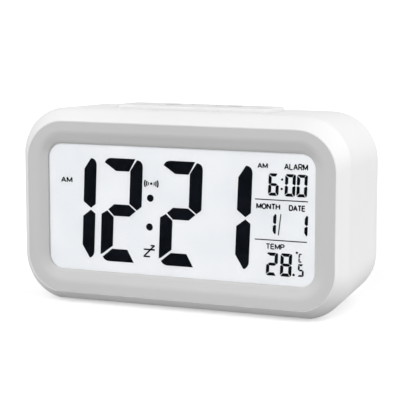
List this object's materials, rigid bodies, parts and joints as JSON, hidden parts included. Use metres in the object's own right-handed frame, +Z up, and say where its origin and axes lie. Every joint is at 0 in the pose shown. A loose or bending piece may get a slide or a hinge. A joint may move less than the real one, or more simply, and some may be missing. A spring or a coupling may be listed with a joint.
{
  "type": "alarm clock",
  "caption": "Desk alarm clock: white rounded case that leans back, grey bezel round a wide seven-segment display, long snooze bar on top, keys and battery door at the back.",
  "frame": {"origin": "centre of the object's box, on the surface it stands on", "axes": "+X to the right seen from the front, -Y out of the display, +Z up"},
  "size_m": [0.135, 0.0496, 0.0772],
  "materials": {
    "case_white": "satin moulded plastic with a very fine texture",
    "bezel_grey": "matt light grey plastic",
    "button_white": "satin",
    "clear_lens": "clear and polished",
    "display_glass": "liquid-crystal panel, pale ground with near-black segments",
    "acrylic": "clear acrylic",
    "white_film": "white film",
    "lamp_yellow": "lamp with a yellow filling",
    "inner_white": "plain moulded plastic",
    "board_green": "green solder mask",
    "epoxy_black": "black epoxy",
    "switch_black": "black plastic",
    "plunger_white": "off-white plastic",
    "steel": "zinc-plated steel",
    "nickel": "nickel-plated spring steel",
    "cell_sleeve": "printed sleeve on a metal can",
    "foot_rubber": "soft grey rubber",
    "rubber_black": "conductive elastomer",
    "wire_red": "insulated wire",
    "wire_black": "insulated wire",
    "wire_grey": "insulated wire"
  },
  "bodies": {
    "case": {"backlight_lamp_left": "lamp_yellow", "backlight_lamp_right": "lamp_yellow", "battery_lead_black": "wire_black", "battery_lead_red": "wire_red", "bezel": "bezel_grey", "board_screw_left": "steel", "board_screw_right": "steel", "buzzer": "epoxy_black", "cell_bottom": "cell_sleeve", "cell_middle": "cell_sleeve", "cell_top": "cell_sleeve", "contact_bridge_left": "nickel", "contact_bridge_right": "nickel", "contact_negative": "nickel", "contact_positive": "nickel", "controller_blob": "epoxy_black", "crystal": "steel", "display_carrier": "inner_white", "display_lens": "clear_lens", "foot_front_left": "foot_rubber", "foot_front_right": "foot_rubber", "foot_rear_left": "foot_rubber", "foot_rear_right": "foot_rubber", "front_frame": "case_white", "housing_screw_bottom_left": "steel", "housing_screw_bottom_right": "steel", "housing_screw_top_left": "steel", "housing_screw_top_right": "steel", "key_alarm_switch": "switch_black", "key_board": "board_green", "key_down_switch": "switch_black", "key_mode_switch": "switch_black", "key_set_switch": "switch_black", "key_up_switch": "switch_black", "lcd_panel": "display_glass", "light_guide": "acrylic", "main_board": "board_green", "rear_housing": "case_white", "reflector_sheet": "white_film", "ribbon_cable": "wire_grey", "slide_switch": "switch_black", "snooze_board": "board_green", "snooze_lead": "wire_grey", "snooze_switch": "switch_black", "thermistor": "epoxy_black", "zebra_strip": "rubber_black"},
    "snooze": {"snooze_bar": "case_white", "snooze_plunger": "plunger_white"},
    "light_switch": {"light_switch_knob": "switch_black"},
    "door": {"battery_door": "case_white"},
    "key_mode": {"button_mode": "button_white", "key_mode_plunger": "plunger_white"},
    "key_set": {"button_set": "button_white", "key_set_plunger": "plunger_white"},
    "key_up": {"button_up": "button_white", "key_up_plunger": "plunger_white"},
    "key_down": {"button_down": "button_white", "key_down_plunger": "plunger_white"},
    "key_alarm": {"button_alarm": "button_white", "key_alarm_plunger": "plunger_white"}
  },
  "joints": [
    {"name": "snooze_press", "type": "slide", "parent": "case", "child": "snooze", "axis": [0, -0.0916, -0.9958], "range_m": [0, 0.0007], "stiffness_N_per_m": 400, "springref_m": -0.0008},
    {"name": "light_switch_slide", "type": "slide", "parent": "case", "child": "light_switch", "axis": [1, 0, 0], "range_m": [0, 0.003]},
    {"name": "door_tip", "type": "hinge", "parent": "case", "child": "door", "pos_m": [0, 0.02033, 0.00511], "axis": [-1, 0, 0], "range_deg": [0, 80]},
    {"name": "mode_press", "type": "slide", "parent": "case", "child": "key_mode", "axis": [0, -0.9981, 0.0615], "range_m": [0, 0.0007], "stiffness_N_per_m": 300, "springref_m": -0.0008},
    {"name": "set_press", "type": "slide", "parent": "case", "child": "key_set", "axis": [0, -0.9981, 0.0615], "range_m": [0, 0.0007], "stiffness_N_per_m": 300, "springref_m": -0.0008},
    {"name": "up_press", "type": "slide", "parent": "case", "child": "key_up", "axis": [0, -0.9981, 0.0615], "range_m": [0, 0.0007], "stiffness_N_per_m": 300, "springref_m": -0.0008},
    {"name": "down_press", "type": "slide", "parent": "case", "child": "key_down", "axis": [0, -0.9981, 0.0615], "range_m": [0, 0.0007], "stiffness_N_per_m": 300, "springref_m": -0.0008},
    {"name": "alarm_press", "type": "slide", "parent": "case", "child": "key_alarm", "axis": [0, -0.9981, 0.0615], "range_m": [0, 0.0007], "stiffness_N_per_m": 300, "springref_m": -0.0008}
  ]
}
